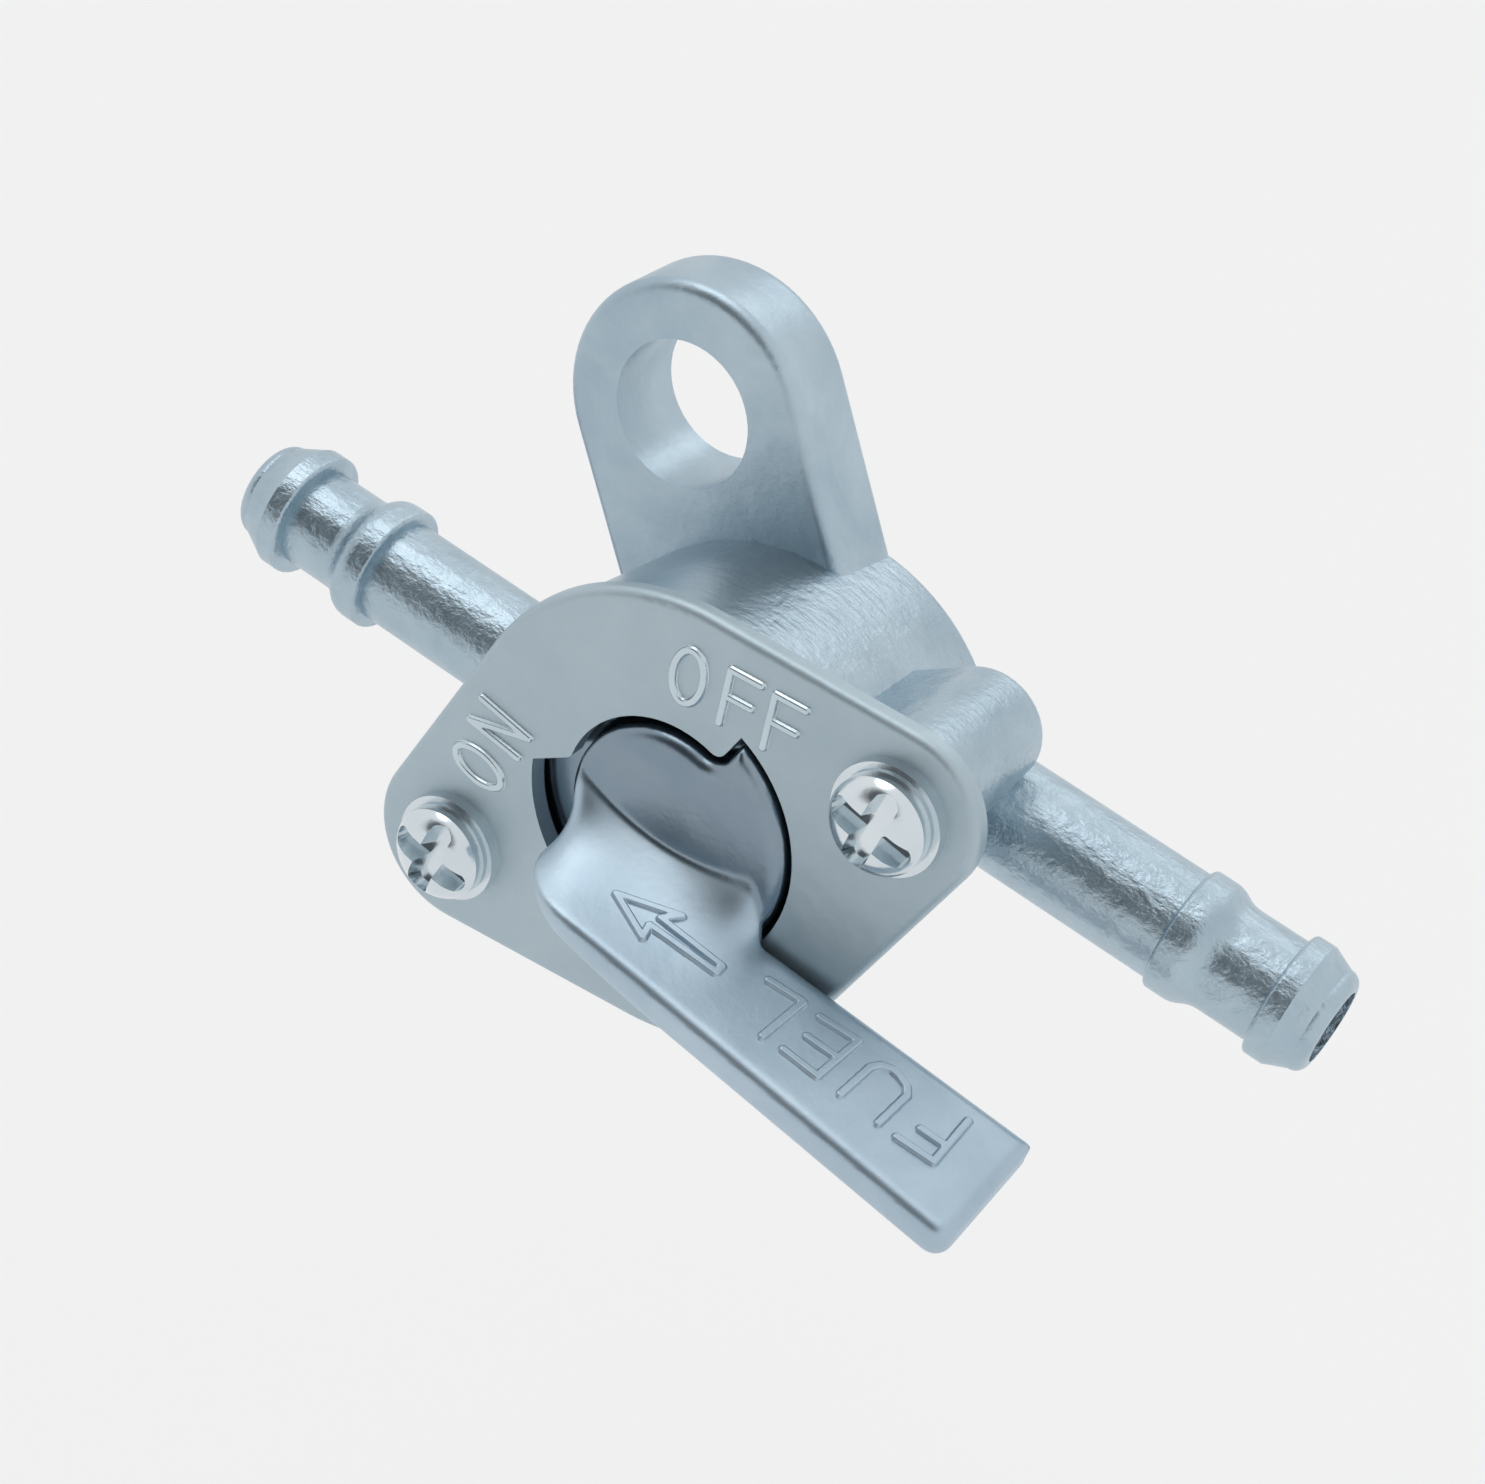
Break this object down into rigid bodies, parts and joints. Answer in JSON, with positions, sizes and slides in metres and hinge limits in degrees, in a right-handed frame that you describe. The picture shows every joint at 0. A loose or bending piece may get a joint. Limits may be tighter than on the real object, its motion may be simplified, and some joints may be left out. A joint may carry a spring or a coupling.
{
  "type": "inline fuel tap",
  "caption": "Inline fuel tap with a mounting eye, barbed hose spigots on opposite sides and a quarter-turn lever marked FUEL that opens and shuts the flow.",
  "frame": {"origin": "centre of the mounting eye, halfway through the lug", "axes": "+X from the left screw to the right one, +Y from the lever side to the back, +Z from the valve up to the mounting eye"},
  "size_m": [0.0616, 0.0229, 0.0448],
  "materials": {
    "zinc_casting": "bright zinc plating on a rough casting",
    "plated_sheet": "satin zinc plating on pressed sheet",
    "plated_lever": "bright zinc plating on a smooth casting",
    "plated_screw": "bright zinc plating",
    "seal_rubber": "black nitrile rubber",
    "spring_steel": "bare spring steel"
  },
  "bodies": {
    "housing": {"body": "zinc_casting", "retainer_plate": "plated_sheet", "port_seal": "seal_rubber", "wave_spring": "spring_steel", "screw_left": "plated_screw", "screw_right": "plated_screw", "spring_washer_left": "plated_screw", "spring_washer_right": "plated_screw"},
    "lever": {"lever": "plated_lever", "lever_o_ring": "seal_rubber"}
  },
  "joints": [
    {"name": "lever_turn", "type": "hinge", "parent": "housing", "child": "lever", "pos_m": [0, 0, -0.018], "axis": [0, 1, 0], "range_deg": [0, 90]}
  ]
}
